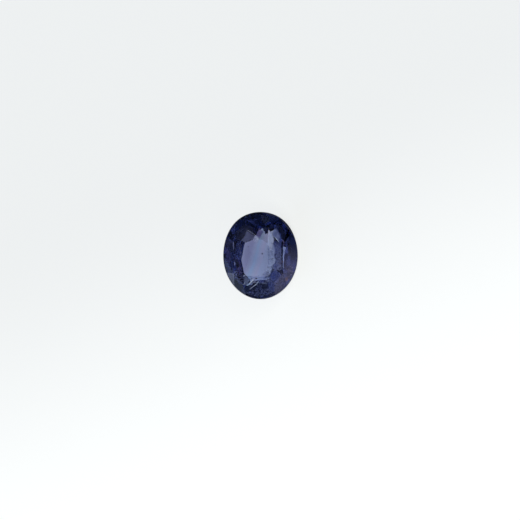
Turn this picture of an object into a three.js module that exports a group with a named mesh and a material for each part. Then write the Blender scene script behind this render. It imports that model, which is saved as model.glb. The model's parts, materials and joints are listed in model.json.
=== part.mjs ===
// A loose oval sapphire, lying as it comes to rest: on one flat facet of its pavilion, with its table facing up and
// to the front. Millimetres, +Z up. The origin is on the surface that it lies on, under the middle of the stone.
//
// It is cut as a lapidary cuts it. A blank with the oval outline stands with its girdle level, and its long axis along
// Y. It is ground flat by flat, each flat one plane. The finished stone is then laid down on the facet that it rests on.
import * as THREE from "three";

// The outline, seen from above the table
const WIDTH = 7.05;
const LENGTH = 8.25;
const SHOULDER_FULLNESS = 0.009; // how far it swells past a plain ellipse between the axes, as a share of the radius
const UPPER_FULLNESS = 0.016; // how much more it swells towards +Y, and how much less towards -Y
const OUTLINE_CORNERS = 96;
const GIRDLE_THICKNESS = 0.3;

// The crown: the table's corners as they were ground, anticlockwise, and how high it stands over the girdle
const CROWN_HEIGHT = 0.88;
const TABLE_CORNERS = [
  [2.13, 0.85],
  [1.48, 2.56],
  [-1.37, 2.56],
  [-2.53, 1.38],
  [-2.47, -1.69],
  [-1.74, -2.58],
  [1.32, -2.55],
  [2.15, -1.63],
];

// The pavilion. Steep facets stand all round under the girdle. Inside them, columns of two facets run in to the culet,
// each as [the way it faces in degrees from +X, the reach of its innermost facet from the culet, the slope of the
// facet outside that]. The innermost facets all end at the same depth.
const CULET = [-0.43, -0.33];
const COLUMNS = [
  [0, 1.4, 47],
  [50, 1.8, 33.3],
  [82, 1.89, 33.6],
  [110, 1.79, 34.32],
  [168, 1.34, 44],
  [192, 1.38, 44],
  [240, 1.85, 46],
  [270, 1.87, 44],
  [332, 1.56, 41],
];
const INNERMOST_DEPTH = 2.8; // of the innermost facets' edges, below the girdle's lower edge
const CULET_DEPTH = 3.55;

// Break facets, ground over the ridges between columns at the +Y end, each as [x and y of the point of the ridge that
// it starts from, the way it faces, its slope]
const BREAKS = [
  [-0.47, 1.95, 96, 39],
  [0.5, 2.05, 66, 38],
  [1.3, 1.55, 40, 37],
];

const STEEP_FACETS = 16;
const STEEP_SLOPE = 62;

// How the stone lies: on the middle facet of this column, turned so that the table faces the front
const RESTING_COLUMN = 0;

const SNAP = 1e-6; // corners this close to a plane lie in it
const UP = new THREE.Vector3(0, 0, 1);
const DOWN = new THREE.Vector3(0, 0, -1);
const FRONT = new THREE.Vector3(0, -1, 0);
const GIRDLE_TOP = GIRDLE_THICKNESS / 2;
const GIRDLE_BOTTOM = -GIRDLE_THICKNESS / 2;

/** The unit vector that points along an azimuth in degrees, in the girdle's plane. */
function heading(azimuth) {
  const angle = THREE.MathUtils.degToRad(azimuth);
  return new THREE.Vector2(Math.cos(angle), Math.sin(angle));
}

/** The corner of a list that comes next after the one at an index, round and round. */
function following(list, index) {
  return list[(index + 1) % list.length];
}

/** A flat point at a height. */
function raised({ x, y }, height) {
  return new THREE.Vector3(x, y, height);
}

/** The outline's corners, anticlockwise from +X: an ellipse with fuller shoulders. */
function outline() {
  return Array.from({ length: OUTLINE_CORNERS }, (_, i) => {
    const angle = (2 * Math.PI * i) / OUTLINE_CORNERS;
    const fullness = SHOULDER_FULLNESS + UPPER_FULLNESS * Math.sin(angle);
    const swell = 1 + fullness * Math.sin(2 * angle) ** 2;
    return new THREE.Vector2((WIDTH / 2) * swell * Math.cos(angle), (LENGTH / 2) * swell * Math.sin(angle));
  });
}

/** The index of the outline's corner that is furthest towards a direction. */
function furthestCorner(corners, direction) {
  const reaches = corners.map((corner) => corner.dot(direction));
  return reaches.indexOf(Math.max(...reaches));
}

/** The blank: an upright prism on the outline, as flat loops of corners that run anticlockwise seen from outside. */
function ovalBlank(corners, bottom, top) {
  const lower = corners.map((corner) => raised(corner, bottom));
  const upper = corners.map((corner) => raised(corner, top));
  const walls = lower.map((corner, i) => [corner, following(lower, i), following(upper, i), upper[i]]);
  return [[...lower].reverse(), upper, ...walls];
}

/** Puts the corners of one flat facet in order, anticlockwise seen from outside, each corner once. */
function orderedLoop(corners, outward) {
  const single = corners.filter((corner, i) => corners.findIndex((c) => c.distanceTo(corner) < SNAP) === i);
  const middle = single.reduce((sum, corner) => sum.add(corner), new THREE.Vector3()).divideScalar(single.length);
  const right = single[0].clone().sub(middle).normalize();
  const up = outward.clone().cross(right);
  const turn = (corner) => {
    const spoke = corner.clone().sub(middle);
    return Math.atan2(spoke.dot(up), spoke.dot(right));
  };
  return single.sort((a, b) => turn(a) - turn(b));
}

/** Grinds one flat: takes away what lies in front of the plane, and adds the facet that it leaves. */
function grind(stone, plane) {
  const height = (corner) => {
    const distance = plane.distanceToPoint(corner);
    return Math.abs(distance) < SNAP ? 0 : distance;
  };
  const rim = [];
  const left = [];
  for (const loop of stone) {
    const kept = [];
    loop.forEach((corner, i) => {
      const next = following(loop, i);
      const here = height(corner);
      const there = height(next);
      if (here <= 0) kept.push(corner);
      if (here === 0) rim.push(corner);
      if (here * there < 0) {
        const crossing = corner.clone().lerp(next, here / (here - there));
        kept.push(crossing);
        rim.push(crossing);
      }
    });
    if (kept.some((corner) => height(corner) < 0)) left.push(kept);
  }
  if (rim.length > 2) left.push(orderedLoop(rim, plane.normal));
  return left;
}

/** A facet's plane, through three of its points, facing away from the middle of the girdle. */
function facetPlane(a, b, c) {
  const plane = new THREE.Plane().setFromCoplanarPoints(a, b, c);
  return plane.distanceToPoint(new THREE.Vector3()) > 0 ? plane.negate() : plane;
}

/**
 * The crown's planes. From each edge of the table a star runs down to the point of the girdle that lies furthest out
 * in front of it. Between two stars are two more facets, which part on the way from the table's corner to the girdle.
 */
function crownPlanes(corners) {
  const tableHeight = GIRDLE_TOP + CROWN_HEIGHT;
  const table = TABLE_CORNERS.map(([x, y]) => new THREE.Vector3(x, y, tableHeight));
  const girdlePoint = (index) => raised(corners[index % corners.length], GIRDLE_TOP);
  const starFeet = table.map((corner, i) => {
    const edge = following(table, i).clone().sub(corner);
    return furthestCorner(corners, new THREE.Vector2(edge.y, -edge.x));
  });
  const planes = [new THREE.Plane(UP.clone(), -tableHeight)];
  table.forEach((corner, i) => {
    const foot = starFeet[i];
    const nextFoot = following(starFeet, i);
    const turn = (nextFoot - foot + corners.length) % corners.length;
    const between = foot + Math.round(turn / 2);
    const nextCorner = following(table, i);
    planes.push(
      facetPlane(corner, nextCorner, girdlePoint(foot)),
      facetPlane(nextCorner, girdlePoint(foot), girdlePoint(between)),
      facetPlane(nextCorner, girdlePoint(between), girdlePoint(nextFoot)),
    );
  });
  return planes;
}

/** The plane of a pavilion facet that faces an azimuth, rises outwards at a slope and passes through a point. */
function pavilionPlane(azimuth, slope, point) {
  const ahead = heading(azimuth);
  const tilt = THREE.MathUtils.degToRad(slope);
  const normal = raised(ahead.multiplyScalar(Math.sin(tilt)), -Math.cos(tilt));
  return new THREE.Plane().setFromNormalAndCoplanarPoint(normal, point);
}

/** A column's innermost plane and the one outside it, which share a level edge. */
function columnPlanes([azimuth, reach, slope]) {
  const culet = new THREE.Vector2(...CULET);
  const edge = raised(culet.addScaledVector(heading(azimuth), reach), GIRDLE_BOTTOM - INNERMOST_DEPTH);
  const innermostSlope = THREE.MathUtils.radToDeg(Math.atan2(CULET_DEPTH - INNERMOST_DEPTH, reach));
  return [pavilionPlane(azimuth, innermostSlope, edge), pavilionPlane(azimuth, slope, edge)];
}

/** The height of the lowest surface that planes leave above or below a flat point. */
function surfaceHeight(planes, x, y) {
  const heights = planes.map(({ normal, constant }) => -(constant + normal.x * x + normal.y * y) / normal.z);
  return Math.max(...heights);
}

/** The planes of the break facets, each through its point of the surface that the columns leave. */
function breakPlanes(columns) {
  return BREAKS.map(([x, y, azimuth, slope]) => {
    const start = new THREE.Vector3(x, y, surfaceHeight(columns, x, y));
    return pavilionPlane(azimuth, slope, start);
  });
}

/** The steep planes under the girdle, each touching its lower edge at the outline's furthest corner. */
function steepPlanes(corners) {
  return Array.from({ length: STEEP_FACETS }, (_, i) => {
    const azimuth = (360 * (i + 0.5)) / STEEP_FACETS;
    const touching = corners[furthestCorner(corners, heading(azimuth))];
    return pavilionPlane(azimuth, STEEP_SLOPE, raised(touching, GIRDLE_BOTTOM));
  });
}

/** One flat-faced geometry from convex loops, each a fan of triangles. */
function facetedGeometry(loops) {
  const triangles = loops.flatMap(([first, ...rest]) => rest.slice(1).flatMap((corner, i) => [first, rest[i], corner]));
  const geometry = new THREE.BufferGeometry().setFromPoints(triangles);
  geometry.computeVertexNormals();
  return geometry;
}

/** Lays the stone down on a facet, turns its table to the front, and puts the middle of its footprint at the origin. */
function layDown(geometry, restingNormal) {
  const down = new THREE.Quaternion().setFromUnitVectors(restingNormal, DOWN);
  const tableNormal = UP.clone().applyQuaternion(down).setZ(0).normalize();
  const turned = new THREE.Quaternion().setFromUnitVectors(tableNormal, FRONT).multiply(down);
  geometry.applyQuaternion(turned);
  geometry.computeBoundingBox();
  const { min, max } = geometry.boundingBox;
  return geometry.translate(-(min.x + max.x) / 2, -(min.y + max.y) / 2, -min.z);
}

const corners = outline();
const blank = ovalBlank(corners, GIRDLE_BOTTOM - CULET_DEPTH, GIRDLE_TOP + CROWN_HEIGHT);
const columns = COLUMNS.flatMap(columnPlanes);
const planes = [...crownPlanes(corners), ...steepPlanes(corners), ...columns, ...breakPlanes(columns)];
const cutStone = planes.reduce(grind, blank);
const [, restingPlane] = columnPlanes(COLUMNS[RESTING_COLUMN]);

const gemBlue = new THREE.MeshPhysicalMaterial({
  color: 0x2b3268,
  roughness: 0.03,
  metalness: 0,
  ior: 1.77,
  transmission: 0.85,
  attenuationColor: new THREE.Color(0x38438f),
  attenuationDistance: 3,
});

const sapphire = new THREE.Mesh(layDown(facetedGeometry(cutStone), restingPlane.normal), gemBlue);
sapphire.name = "sapphire";

const stone = new THREE.Group();
stone.add(sapphire);

export default stone;
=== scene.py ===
"""A loose oval sapphire that lies on a pale table top, seen square to its own table facet.

The stone's own detail is given in millimetres in the cutter's view: x to the right and y up as one looks
at the table facet, z out of it, from the middle of the girdle. Everything made in Blender is in metres.
"""
import json
import logging
import math
from abc import ABC, abstractmethod
from dataclasses import dataclass, field
from enum import Enum

import bmesh
import bpy
from mathutils import Matrix, Vector, noise


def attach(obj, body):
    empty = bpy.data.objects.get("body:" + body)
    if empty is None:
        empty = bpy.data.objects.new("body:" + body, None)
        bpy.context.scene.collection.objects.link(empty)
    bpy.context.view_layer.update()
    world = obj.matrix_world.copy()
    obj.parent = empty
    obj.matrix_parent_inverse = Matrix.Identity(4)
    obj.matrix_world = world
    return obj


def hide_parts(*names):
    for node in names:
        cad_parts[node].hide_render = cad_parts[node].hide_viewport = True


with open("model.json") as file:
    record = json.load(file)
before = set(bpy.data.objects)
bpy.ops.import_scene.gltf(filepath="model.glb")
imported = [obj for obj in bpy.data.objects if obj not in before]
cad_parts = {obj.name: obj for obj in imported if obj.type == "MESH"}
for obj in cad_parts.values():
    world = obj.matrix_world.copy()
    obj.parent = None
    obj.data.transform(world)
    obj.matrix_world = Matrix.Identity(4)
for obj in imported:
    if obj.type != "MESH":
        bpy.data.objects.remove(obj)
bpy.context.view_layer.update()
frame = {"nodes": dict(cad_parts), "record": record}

NODE = "sapphire"
BODY = "root"
TABLE_MOUNT = "table"
TABLE_HEIGHT = 1.03  # over the middle of the girdle, in millimetres
MM = 0.001
INNER = "inner"  # a blade's attribute: 0 on its rim, 1 in its middle

log = logging.getLogger("sapphire")

Colour = tuple[float, float, float]
Point = tuple[float, float, float]
Flat = tuple[float, float]
Range = tuple[float, float]
Outline = tuple[Flat, ...]

BLACK: Colour = (0.0, 0.0, 0.0)


# The cutter's view

def leaned(lean: float, turn: float) -> Vector:
    """Finds the unit vector that leans over from the way out of the table.

    Args:
        lean: How far it leans over, in degrees.
        turn: Where to, as one looks at the table, in degrees anticlockwise from the right.

    Returns:
        The vector, in the cutter's view.
    """
    over, around = math.radians(lean), math.radians(turn)
    return Vector((math.sin(over) * math.cos(around), math.sin(over) * math.sin(around), math.cos(over)))


def metres(reach: Range) -> Range:
    """Turns a range from millimetres to metres."""
    return reach[0] * MM, reach[1] * MM


@dataclass(frozen=True)
class CutFrame:
    """The cutter's view of the stone: its right, its up and the way out of its table, in the model."""

    right: Vector
    up: Vector
    out: Vector
    middle: Vector

    @staticmethod
    def extent(mesh: bpy.types.Mesh, axis: Vector) -> Range:
        """Measures a mesh along an axis, from its lowest to its highest reach."""
        reaches = [vertex.co.dot(axis) for vertex in mesh.vertices]
        return min(reaches), max(reaches)

    @classmethod
    def of_mesh(cls, mesh: bpy.types.Mesh, table_normal: Vector, table_height: float) -> "CutFrame":
        """Finds the middle of the girdle from the stone's own extents.

        Args:
            mesh: The stone, in metres.
            table_normal: The way out of the table facet.
            table_height: How far the table stands over the middle of the girdle, in millimetres.

        Returns:
            The cutter's frame.
        """
        out = table_normal.normalized()
        up = Vector((1, 0, 0))
        right = up.cross(out)
        across = sum(cls.extent(mesh, right)) / 2
        along = sum(cls.extent(mesh, up)) / 2
        top = cls.extent(mesh, out)[1]
        middle = right * across + up * along + out * (top - table_height * MM)
        return cls(right, up, out, middle)

    def direction(self, x: float, y: float, z: float) -> Vector:
        """Turns a direction in the cutter's view to the model."""
        return self.right * x + self.up * y + self.out * z

    def point(self, x: float, y: float, z: float) -> Vector:
        """Places a point that is given in millimetres in the cutter's view."""
        return self.middle + self.direction(x, y, z) * MM

    def matrix(self) -> Matrix:
        """The turn from the cutter's view to the model, without its place."""
        return Matrix((self.right, self.up, self.out)).transposed()


# Nodes that several finishes use

def add_node(tree: bpy.types.NodeTree, kind: str, **settings: object) -> bpy.types.Node:
    """Adds a node to a tree.

    Args:
        tree: The tree that gets the node.
        kind: The node's type name.
        settings: Values of the node's own properties.

    Returns:
        The node.
    """
    node = tree.nodes.new(kind)
    for name, value in settings.items():
        setattr(node, name, value)
    return node


def feed(socket: bpy.types.NodeSocket, value: object) -> None:
    """Gives an input its value.

    Args:
        socket: The input.
        value: A plain value, or the output that it is linked to.
    """
    if isinstance(value, bpy.types.NodeSocket):
        socket.id_data.links.new(value, socket)
    else:
        socket.default_value = value


def set_inputs(node: bpy.types.Node, **values: object) -> None:
    """Feeds a node's inputs by name, with underscores for spaces."""
    for name, value in values.items():
        feed(node.inputs[name.replace("_", " ")], value)


def opaque(tone: Colour) -> tuple[float, float, float, float]:
    """Gives a colour its full alpha."""
    return (*tone, 1.0)


def compute(tree: bpy.types.NodeTree, operation: str, *values: object) -> bpy.types.NodeSocket:
    """Adds a Math node.

    Args:
        tree: The tree that gets the node.
        operation: What the node does.
        values: Its inputs in order, each a number or an output.

    Returns:
        The result.
    """
    node = add_node(tree, "ShaderNodeMath", operation=operation)
    for socket, value in zip(node.inputs, values):
        feed(socket, value)
    return node.outputs[0]


def grade(tree: bpy.types.NodeTree, value: bpy.types.NodeSocket, reach: Range, levels: Range = (0.0, 1.0),
          smooth: bool = True) -> bpy.types.NodeSocket:
    """Adds a slope from one level to another while a value passes through a range.

    Args:
        tree: The tree that gets the node.
        value: The value.
        reach: The range that it passes through.
        levels: The levels at the range's ends.
        smooth: Whether the slope starts and ends softly.

    Returns:
        The level.
    """
    curve = "SMOOTHSTEP" if smooth else "LINEAR"
    node = add_node(tree, "ShaderNodeMapRange", interpolation_type=curve)
    set_inputs(node, Value=value, From_Min=reach[0], From_Max=reach[1], To_Min=levels[0], To_Max=levels[1])
    return node.outputs["Result"]


def mix_tones(tree: bpy.types.NodeTree, share: bpy.types.NodeSocket, first: object, second: object,
              blend: str = "MIX") -> bpy.types.NodeSocket:
    """Adds a mix of two colours.

    Args:
        tree: The tree that gets the node.
        share: The share of the second colour.
        first: The first, a colour or an output.
        second: The second, a colour or an output.
        blend: How the second is laid on the first.

    Returns:
        The mixed colour.
    """
    node = add_node(tree, "ShaderNodeMix", data_type="RGBA", blend_type=blend)
    set_inputs(node, Factor=share)
    for name, tone in (("A", first), ("B", second)):
        feed(node.inputs[name], opaque(tone) if isinstance(tone, tuple) else tone)
    return node.outputs["Result"]


def shader_group(name: str, inputs: tuple[str, ...],
                 output: str) -> tuple[bpy.types.NodeTree, bpy.types.Node, bpy.types.Node]:
    """Starts a shader node group that reads a vector and plain values.

    Args:
        name: The group's name.
        inputs: The names of the plain values.
        output: The name of the value that it puts out.

    Returns:
        The group, its input node and its output node.
    """
    group = bpy.data.node_groups.new(name, "ShaderNodeTree")
    socket = group.interface.new_socket
    socket(name="Vector", in_out="INPUT", socket_type="NodeSocketVector")
    for label in inputs:
        socket(name=label, in_out="INPUT", socket_type="NodeSocketFloat")
    socket(name=output, in_out="OUTPUT", socket_type="NodeSocketFloat")
    return group, add_node(group, "NodeGroupInput"), add_node(group, "NodeGroupOutput")


def mottle_group() -> bpy.types.NodeTree:
    """Builds soft cloudy variation, shared by all finishes.

    Returns:
        The group, which puts out a mask from 0 to 1.
    """
    group, start, end = shader_group("mottle", ("Scale", "Detail", "Low", "High"), "Mask")
    given = start.outputs
    cloud = add_node(group, "ShaderNodeTexNoise", noise_dimensions="3D")
    set_inputs(cloud, Vector=given["Vector"], Scale=given["Scale"], Detail=given["Detail"])
    spread = add_node(group, "ShaderNodeMapRange", interpolation_type="SMOOTHSTEP")
    set_inputs(spread, Value=cloud.outputs["Fac"], From_Min=given["Low"], From_Max=given["High"])
    set_inputs(end, Mask=spread.outputs["Result"])
    return group


def wear_group(stretch: Point = (1.0, 0.06, 0.3), turn: Point = (0.4, 0.9, 0.2),
               scratch_detail: float = 4.0, pit_detail: float = 1.0) -> bpy.types.NodeTree:
    """Builds fine scratches and pits as a height, shared by everything that lies in the stone.

    Args:
        stretch: How the scratches are drawn out, as scales along three axes.
        turn: How those axes are turned.
        scratch_detail: The scratches' detail.
        pit_detail: The pits' detail.

    Returns:
        The group, which puts out a height.
    """
    group, start, end = shader_group("fine wear", ("Scratches", "Pits"), "Height")
    given = start.outputs
    drawn = add_node(group, "ShaderNodeMapping")
    set_inputs(drawn, Vector=given["Vector"], Scale=stretch, Rotation=turn)
    lines = add_node(group, "ShaderNodeTexNoise")
    set_inputs(lines, Vector=drawn.outputs["Vector"], Scale=given["Scratches"], Detail=scratch_detail)
    pits = add_node(group, "ShaderNodeTexNoise")
    set_inputs(pits, Vector=given["Vector"], Scale=given["Pits"], Detail=pit_detail)
    set_inputs(end, Height=compute(group, "ADD", lines.outputs["Fac"], pits.outputs["Fac"]))
    return group


def place_group(tree: bpy.types.NodeTree, group: bpy.types.NodeTree,
                **values: object) -> bpy.types.NodeSocket:
    """Places a shared group in a material.

    Args:
        tree: The material's tree.
        group: The shared group.
        values: The group's inputs, each a number or an output.

    Returns:
        What the group puts out.
    """
    node = add_node(tree, "ShaderNodeGroup", node_tree=group)
    set_inputs(node, **values)
    return node.outputs[0]


@dataclass
class Workshop:
    """The node groups that several finishes share, and the cutter's frame."""

    cut: CutFrame
    mottle: bpy.types.NodeTree = field(default_factory=mottle_group)
    wear: bpy.types.NodeTree = field(default_factory=wear_group)

    def cut_coordinates(self, tree: bpy.types.NodeTree) -> bpy.types.NodeSocket:
        """Adds the object's coordinates in the cutter's view, in metres from the middle of the girdle.

        Args:
            tree: The material's tree.

        Returns:
            The coordinates.
        """
        place = add_node(tree, "ShaderNodeTexCoord")
        turn = add_node(tree, "ShaderNodeMapping", vector_type="TEXTURE")
        set_inputs(turn, Vector=place.outputs["Object"], Location=self.cut.middle,
                   Rotation=self.cut.matrix().to_euler())
        return turn.outputs["Vector"]


def start_material(name: str) -> tuple[bpy.types.Material, bpy.types.NodeTree, bpy.types.Node]:
    """Starts a material.

    Args:
        name: The material's name.

    Returns:
        The material, its tree and its Principled node.
    """
    material = bpy.data.materials.new(name)
    material.use_nodes = True
    tree = material.node_tree
    return material, tree, tree.nodes["Principled BSDF"]


def finished_mesh(name: str, shape: bmesh.types.BMesh) -> bpy.types.Mesh:
    """Makes a mesh of a finished shape, and frees the shape.

    Args:
        name: The mesh's name.
        shape: The shape.

    Returns:
        The mesh.
    """
    mesh = bpy.data.meshes.new(name)
    shape.to_mesh(mesh)
    shape.free()
    return mesh


def put_in_scene(name: str, mesh: bpy.types.Mesh) -> bpy.types.Object:
    """Makes an object of a mesh and puts it in the scene.

    Args:
        name: The object's name.
        mesh: Its mesh, in place.

    Returns:
        The object.
    """
    made = bpy.data.objects.new(name, mesh)
    bpy.context.scene.collection.objects.link(made)
    return made


def link_piece(name: str, mesh: bpy.types.Mesh, material: bpy.types.Material) -> bpy.types.Object:
    """Makes a piece of a finished mesh, which moves with the stone.

    Args:
        name: The piece's name.
        mesh: Its mesh, in place.
        material: Its finish.

    Returns:
        The piece.
    """
    piece = put_in_scene(name, mesh)
    if not mesh.materials:
        mesh.materials.append(material)
    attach(piece, BODY)
    return piece


# The stone

@dataclass(frozen=True)
class CrystalFinish:
    """Clear blue corundum with polished facets, a ground girdle and bands of colour.

    Its lengths are in millimetres in the cutter's view.
    """

    ior: float = 1.77
    absorbed: Colour = (0.0525, 0.1675, 0.5475)
    density: float = 298.0
    polish: float = 0.0
    pavilion_haze: float = 0.05
    ground: float = 0.38
    ground_tone: Colour = (0.16, 0.18, 0.4)
    ground_reach: Range = (0.16, 0.21)
    zones: tuple[tuple[float, Colour], ...] = (
        (-3.0, (0.82, 0.82, 0.88)),
        (-1.75, (0.86, 0.83, 0.88)),
        (-1.38, (0.74, 0.69, 0.78)),
        (-1.05, (0.74, 0.69, 0.78)),
        (-0.82, (0.84, 0.82, 0.87)),
        (-0.62, (0.87, 0.9, 0.93)),
        (-0.42, (0.8, 0.96, 1.0)),
        (-0.2, (0.93, 0.95, 0.97)),
        (0.08, (1.0, 0.94, 0.96)),
        (0.4, (0.88, 0.93, 0.97)),
        (0.8, (0.83, 0.86, 0.92)),
        (1.4, (0.86, 0.89, 0.94)),
        (2.6, (0.88, 0.82, 0.9)),
    )
    zone_turn: float = math.radians(17)
    zone_reach: float = 3.6
    zone_wander: float = 0.2
    wander_scale: float = 700.0
    wander_detail: float = 2.0
    wander_spread: Range = (0.2, 0.8)
    head_tone: Colour = (0.86, 0.85, 0.88)
    head_reach: Range = (-2.2, 1.6)

    def roughness(self, tree: bpy.types.NodeTree, height: bpy.types.NodeSocket,
                  girdle: bpy.types.NodeSocket) -> bpy.types.NodeSocket:
        """Adds the roughness: none on the crown, a little on the pavilion, dull on the girdle.

        Args:
            tree: The material's tree.
            height: The height over the middle of the girdle.
            girdle: The girdle's mask.

        Returns:
            The roughness.
        """
        below = compute(tree, "LESS_THAN", height, 0.0)
        polished = grade(tree, below, (0.0, 1.0), (self.polish, self.pavilion_haze), smooth=False)
        dull = add_node(tree, "ShaderNodeMix", data_type="FLOAT")
        set_inputs(dull, Factor=girdle, A=polished, B=self.ground)
        return dull.outputs["Result"]

    def zone_position(self, workshop: Workshop, tree: bpy.types.NodeTree,
                      place: bpy.types.NodeSocket) -> bpy.types.NodeSocket:
        """Adds how far across the bands of colour a point lies.

        Args:
            workshop: The shared node groups.
            tree: The material's tree.
            place: The coordinates in the cutter's view.

        Returns:
            The share of the way, from 0 to 1.
        """
        turned = add_node(tree, "ShaderNodeMapping")
        set_inputs(turned, Vector=place, Rotation=(0.0, 0.0, self.zone_turn))
        across = add_node(tree, "ShaderNodeSeparateXYZ")
        set_inputs(across, Vector=turned.outputs["Vector"])
        low, high = self.wander_spread
        wander = place_group(tree, workshop.mottle, Vector=place, Scale=self.wander_scale,
                             Detail=self.wander_detail, Low=low, High=high)
        shifted = compute(tree, "MULTIPLY_ADD", wander, self.zone_wander * MM, across.outputs["X"])
        return grade(tree, shifted, metres((-self.zone_reach, self.zone_reach)), smooth=False)

    def zone_tone(self, tree: bpy.types.NodeTree, position: bpy.types.NodeSocket) -> bpy.types.NodeSocket:
        """Adds the bands of colour.

        Args:
            tree: The material's tree.
            position: How far across the bands a point lies.

        Returns:
            The colour.
        """
        ramp = add_node(tree, "ShaderNodeValToRGB")
        stops = ramp.color_ramp.elements
        stops[0].color = opaque(self.zones[0][1])
        stops[1].color = opaque(self.zones[-1][1])
        for reach, tone in self.zones:
            stop = stops.new(0.5 + (reach + self.zone_wander / 2) / (2 * self.zone_reach))
            stop.color = opaque(tone)
        set_inputs(ramp, Fac=position)
        return ramp.outputs["Color"]

    def make(self, workshop: Workshop) -> bpy.types.Material:
        """Makes the material.

        Args:
            workshop: The shared node groups and the cutter's frame.

        Returns:
            The stone's material.
        """
        material, tree, shader = start_material("polished blue corundum")
        place = workshop.cut_coordinates(tree)
        split = add_node(tree, "ShaderNodeSeparateXYZ")
        set_inputs(split, Vector=place)
        height = split.outputs["Z"]
        girdle = grade(tree, compute(tree, "ABSOLUTE", height), metres(self.ground_reach), (1.0, 0.0))
        bands = self.zone_tone(tree, self.zone_position(workshop, tree, place))
        ahead = grade(tree, split.outputs["Y"], metres(self.head_reach))
        deeper = mix_tones(tree, ahead, bands, self.head_tone, "MULTIPLY")
        set_inputs(
            shader, Base_Color=mix_tones(tree, girdle, deeper, self.ground_tone),
            Roughness=self.roughness(tree, height, girdle), Metallic=0.0, IOR=self.ior,
            Transmission_Weight=1.0)
        body = add_node(tree, "ShaderNodeVolumeAbsorption")
        set_inputs(body, Color=opaque(self.absorbed), Density=self.density)
        set_inputs(tree.nodes["Material Output"], Volume=body.outputs["Volume"])
        return material


@dataclass(frozen=True)
class CutStone:
    """The stone itself: the model's facets with the fine bevels that polishing leaves along their edges.

    Its lengths are in millimetres.
    """

    finish: CrystalFinish
    bevel_width: float = 0.01
    flat_angle: float = math.radians(0.5)
    weld: float = 1e-4
    touch: float = 1e-6

    def sharp_facets(self) -> bmesh.types.BMesh:
        """Copies the model's stone as one flat face for each facet.

        Returns:
            The facets, in millimetres.
        """
        shape = bmesh.new()
        shape.from_mesh(frame["nodes"][NODE].data)
        shape.transform(Matrix.Scale(1 / MM, 4))
        bmesh.ops.remove_doubles(shape, verts=shape.verts, dist=self.weld)
        bmesh.ops.dissolve_limit(shape, angle_limit=self.flat_angle, verts=shape.verts, edges=shape.edges)
        shape.normal_update()
        return shape

    def bevel_planes(self, shape: bmesh.types.BMesh) -> list[tuple[Vector, Vector]]:
        """Finds the plane of the bevel along each edge.

        Args:
            shape: The sharp stone.

        Returns:
            A point and an outward normal for each edge.
        """
        planes = []
        for edge in shape.edges:
            turn = edge.calc_face_angle()
            outward = sum((face.normal for face in edge.link_faces), Vector()).normalized()
            depth = self.bevel_width / 2 * math.tan(turn / 2)
            middle = (edge.verts[0].co + edge.verts[1].co) / 2
            planes.append((middle - outward * depth, outward))
        return planes

    def grind(self, shape: bmesh.types.BMesh, point: Vector, outward: Vector) -> None:
        """Grinds one flat on the stone and closes it.

        Args:
            shape: The stone.
            point: A point of the flat.
            outward: The flat's outward normal.
        """
        everything = [*shape.verts, *shape.edges, *shape.faces]
        cut = bmesh.ops.bisect_plane(
            shape, geom=everything, dist=self.touch, plane_co=point, plane_no=outward, clear_outer=True)
        edges = [item for item in cut["geom_cut"] if isinstance(item, bmesh.types.BMEdge)]
        rim = [edge for edge in edges if edge.is_boundary]
        if rim:
            bmesh.ops.contextual_create(shape, geom=rim)

    def build(self, workshop: Workshop) -> bpy.types.Object:
        """Builds the stone and dresses it.

        Args:
            workshop: The shared node groups and the cutter's frame.

        Returns:
            The stone's object.
        """
        shape = self.sharp_facets()
        for point, outward in self.bevel_planes(shape):
            self.grind(shape, point, outward)
        shape.transform(Matrix.Scale(MM, 4))
        bmesh.ops.recalc_face_normals(shape, faces=shape.faces)
        stone = link_piece("cut_stone", finished_mesh("cut_stone", shape), self.finish.make(workshop))
        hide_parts(NODE)
        return stone


# How the things in the stone are made

@dataclass(frozen=True)
class InclusionFinish:
    """The finish of something that is closed up in the crystal: two tones in clouds, with fine wear.

    It is solid where cover is 1. Below that, the clouds let it through, and it fades out to its rim.
    """

    name: str
    light_tone: Colour
    dark_tone: Colour
    metallic: float = 1.0
    roughness: float = 0.3
    cover: float = 1.0
    fade: float = 0.0
    cloud_scale: float = 4000.0
    cloud_detail: float = 3.0
    cloud_spread: Range = (0.4, 0.6)
    relief: float = 0.2
    relief_depth: float = 0.00001
    scratches: float = 12000.0
    pits: float = 20000.0

    def alpha(self, tree: bpy.types.NodeTree, clouds: bpy.types.NodeSocket) -> bpy.types.NodeSocket:
        """Adds how much of the light a thin inclusion stops.

        Args:
            tree: The material's tree.
            clouds: The clouds' mask.

        Returns:
            The alpha.
        """
        stopped = compute(tree, "MULTIPLY", clouds, self.cover)
        if self.fade == 0.0:
            return stopped
        inner = add_node(tree, "ShaderNodeAttribute", attribute_name=INNER)
        soft = grade(tree, inner.outputs["Fac"], (0.0, self.fade))
        return compute(tree, "MULTIPLY", stopped, soft)

    def make(self, workshop: Workshop) -> bpy.types.Material:
        """Makes the material.

        Args:
            workshop: The shared node groups.

        Returns:
            The inclusion's material.
        """
        material, tree, shader = start_material(self.name)
        place = add_node(tree, "ShaderNodeTexCoord").outputs["Object"]
        low, high = self.cloud_spread
        clouds = place_group(tree, workshop.mottle, Vector=place, Scale=self.cloud_scale,
                             Detail=self.cloud_detail, Low=low, High=high)
        wear = place_group(tree, workshop.wear, Vector=place, Scratches=self.scratches, Pits=self.pits)
        bump = add_node(tree, "ShaderNodeBump")
        set_inputs(bump, Height=wear, Strength=self.relief, Distance=self.relief_depth)
        set_inputs(shader, Base_Color=mix_tones(tree, clouds, self.dark_tone, self.light_tone),
                   Metallic=self.metallic, Roughness=self.roughness, Normal=bump.outputs["Normal"])
        if self.cover < 1.0:
            set_inputs(shader, Alpha=self.alpha(tree, clouds))
        return material


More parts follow.
